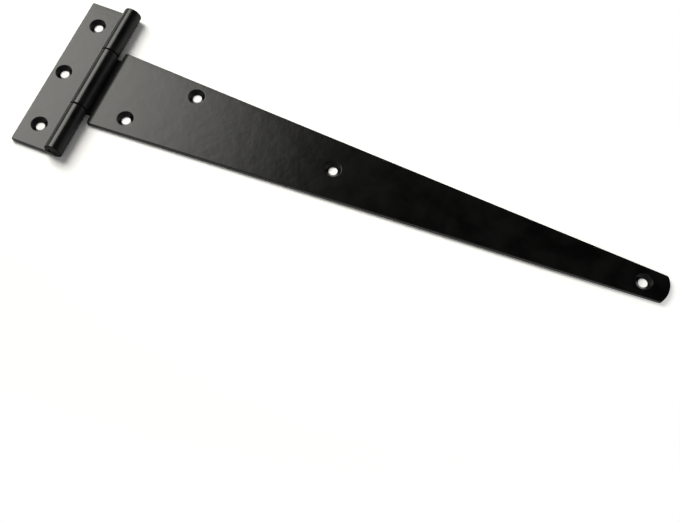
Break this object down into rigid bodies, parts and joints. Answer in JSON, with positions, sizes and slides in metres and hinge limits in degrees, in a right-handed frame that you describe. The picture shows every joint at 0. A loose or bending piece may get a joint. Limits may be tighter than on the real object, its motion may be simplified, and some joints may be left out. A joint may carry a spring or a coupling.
{
  "type": "tee hinge",
  "caption": "Black tee hinge of folded steel sheet: a short notched frame flange and a long tapering door strap turn on one pin, with countersunk screw holes.",
  "frame": {"origin": "in the mounting plane, under the middle of the pin, where the joint between frame and door runs", "axes": "+X from the pin to the strap's tip, +Y along the pin, +Z out of the mounting plane towards the side that shows"},
  "size_m": [0.3288, 0.09, 0.0095],
  "materials": {
    "powder_coated_leaf": "satin black powder coat over steel sheet, with a fine orange peel",
    "powder_coated_pin": "satin black powder coat on the ends of a steel pin"
  },
  "bodies": {
    "flange": {"flange_leaf": "powder_coated_leaf", "hinge_pin": "powder_coated_pin"},
    "strap": {"strap_leaf": "powder_coated_leaf"}
  },
  "joints": [
    {"name": "strap_swing", "type": "hinge", "parent": "flange", "child": "strap", "pos_m": [0, 0, 0.00475], "axis": [0, -1, 0], "range_deg": [-90, 180]}
  ]
}
